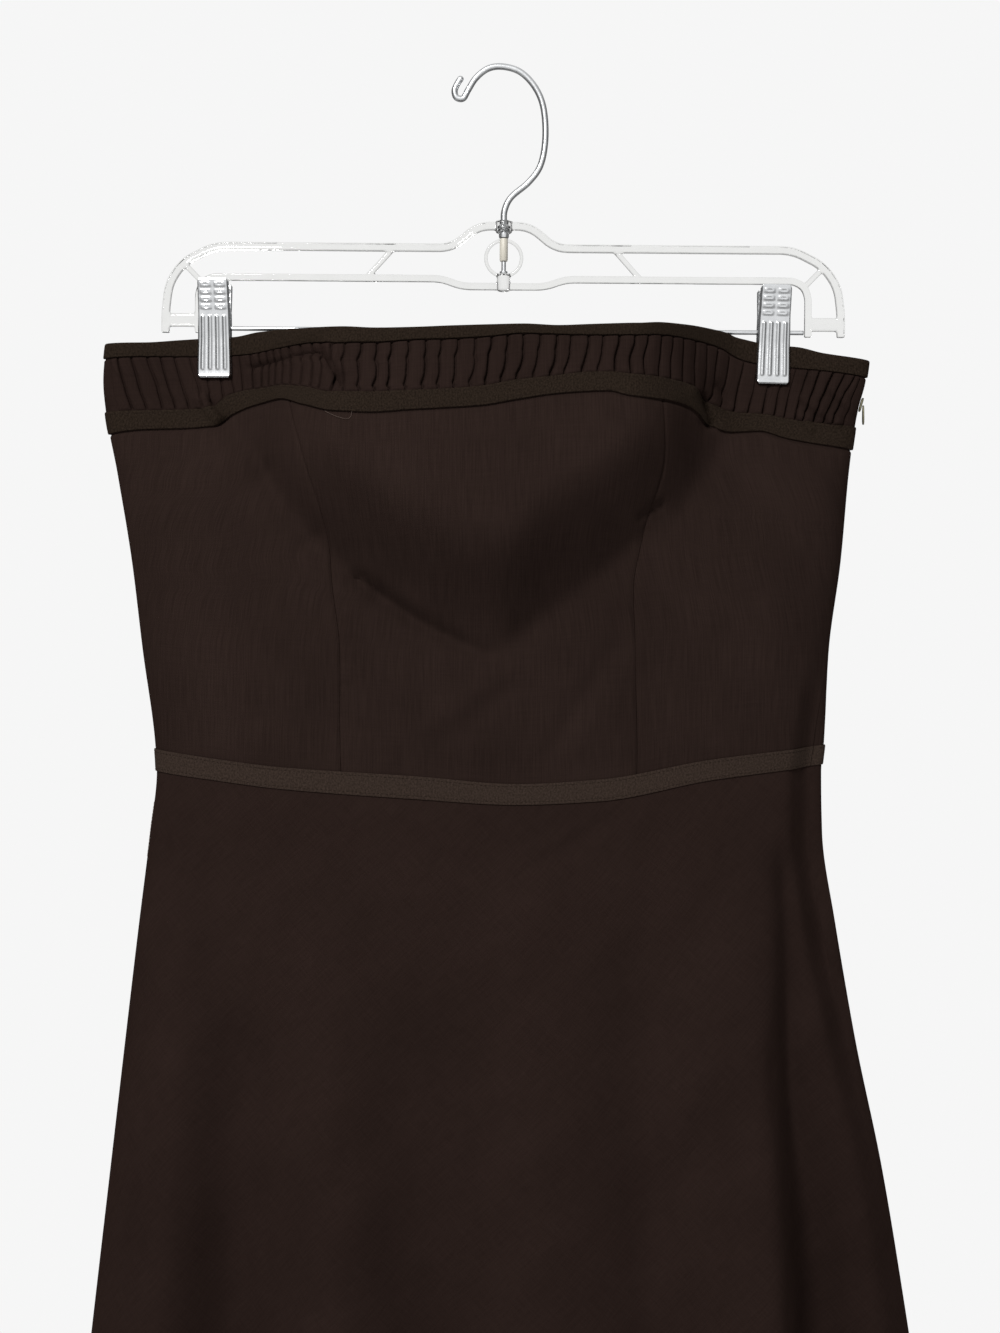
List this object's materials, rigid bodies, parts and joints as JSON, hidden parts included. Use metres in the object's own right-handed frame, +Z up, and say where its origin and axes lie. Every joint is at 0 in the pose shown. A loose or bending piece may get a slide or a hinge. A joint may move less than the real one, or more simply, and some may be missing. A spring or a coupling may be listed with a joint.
{
  "type": "strapless dress on a clip hanger",
  "caption": "Strapless knee-length dress with a pin-tucked band, ribbon trim and a flared skirt, clipped to a clear hanger with a metal hook.",
  "frame": {"origin": "inner top of the hanger's hook, where a rail carries it", "axes": "+X to the viewer's right across the front, +Y from the front to the back, +Z up"},
  "size_m": [0.5282, 0.1522, 1.0337],
  "materials": {
    "bodice_cloth": "dark brown silk and cotton cloth with a fine upright slub, matt",
    "tucked_cloth": "the same dark brown cloth in narrow pin tucks",
    "skirt_cloth": "dark brown smooth cloth cut on the bias, matt",
    "ribbon": "dark brown fine-ribbed grosgrain ribbon",
    "waist_ribbon": "dark brown fine-ribbed grosgrain ribbon, edge stitched",
    "zip_tape": "dark brown woven zip tape",
    "zip_metal": "olive grey enamelled metal",
    "bright_metal": "bright plated steel",
    "clear_plastic": "clear moulded plastic"
  },
  "bodies": {
    "garment": {"binding_front": "ribbon", "binding_back": "ribbon", "tuck_band_front": "tucked_cloth", "tuck_band_back": "tucked_cloth", "band_ribbon_front": "ribbon", "band_ribbon_back": "ribbon", "bodice_centre_front": "bodice_cloth", "bodice_side_front_left": "bodice_cloth", "bodice_side_front_right": "bodice_cloth", "bodice_back": "bodice_cloth", "waist_ribbon_front": "waist_ribbon", "waist_ribbon_back": "waist_ribbon", "skirt_front": "skirt_cloth", "skirt_back": "skirt_cloth", "side_zip": "zip_tape", "zip_slider": "zip_metal", "hanger_frame": "clear_plastic", "hanger_hook": "bright_metal", "hook_ferrule": "bright_metal", "clip_rod": "bright_metal", "clip_front_left": "bright_metal", "clip_back_left": "bright_metal", "clip_spring_left": "bright_metal", "clip_front_right": "bright_metal", "clip_back_right": "bright_metal", "clip_spring_right": "bright_metal"},
    "zip_pull": {"zip_pull": "zip_metal"}
  },
  "joints": [
    {"name": "pull_swing", "type": "hinge", "parent": "garment", "child": "zip_pull", "pos_m": [0.19449, 0, -0.1815], "axis": [0, -1, 0], "range_deg": [0, 150]}
  ]
}
